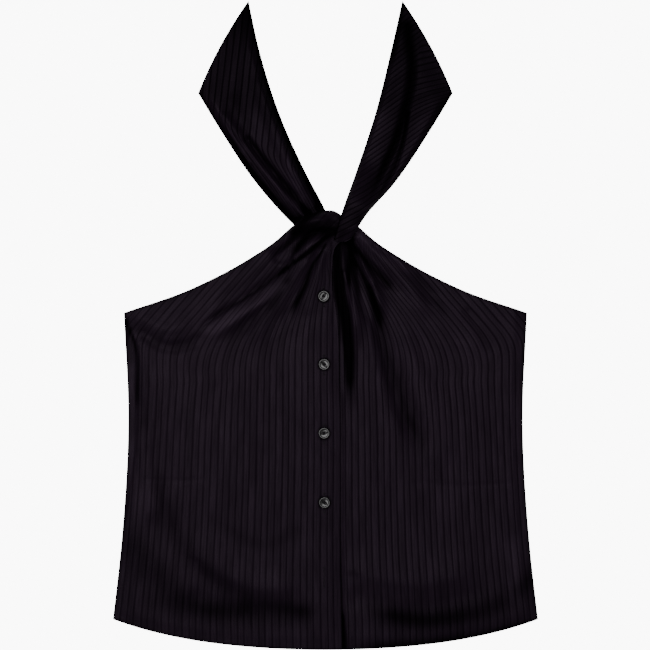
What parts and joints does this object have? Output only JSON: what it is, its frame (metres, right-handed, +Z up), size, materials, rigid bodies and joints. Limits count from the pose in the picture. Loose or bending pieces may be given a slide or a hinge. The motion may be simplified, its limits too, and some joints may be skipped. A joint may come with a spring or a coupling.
{
  "type": "halter neck top",
  "caption": "Sleeveless button-front halter top in ribbed satin, its two fronts hooked in a twisted knot, laid flat front side up.",
  "frame": {"origin": "on the floor, in the middle of the patch of floor that the top covers", "axes": "+X to the right as the front is seen from above, +Y from the hem to the neck, +Z up off the floor"},
  "size_m": [0.4332, 0.6616, 0.0227],
  "materials": {
    "satin_body": "black satin with fine lengthways ribs and a soft purplish sheen",
    "satin_strap": "the same ribbed black satin, doubled",
    "button": "polished black button with a dished face and two holes"
  },
  "bodies": {
    "root": {"back": "satin_body", "front_left": "satin_body", "front_right": "satin_body", "strap_left": "satin_strap", "strap_right": "satin_strap", "button_1": "button", "button_2": "button", "button_3": "button", "button_4": "button"}
  },
  "joints": []
}
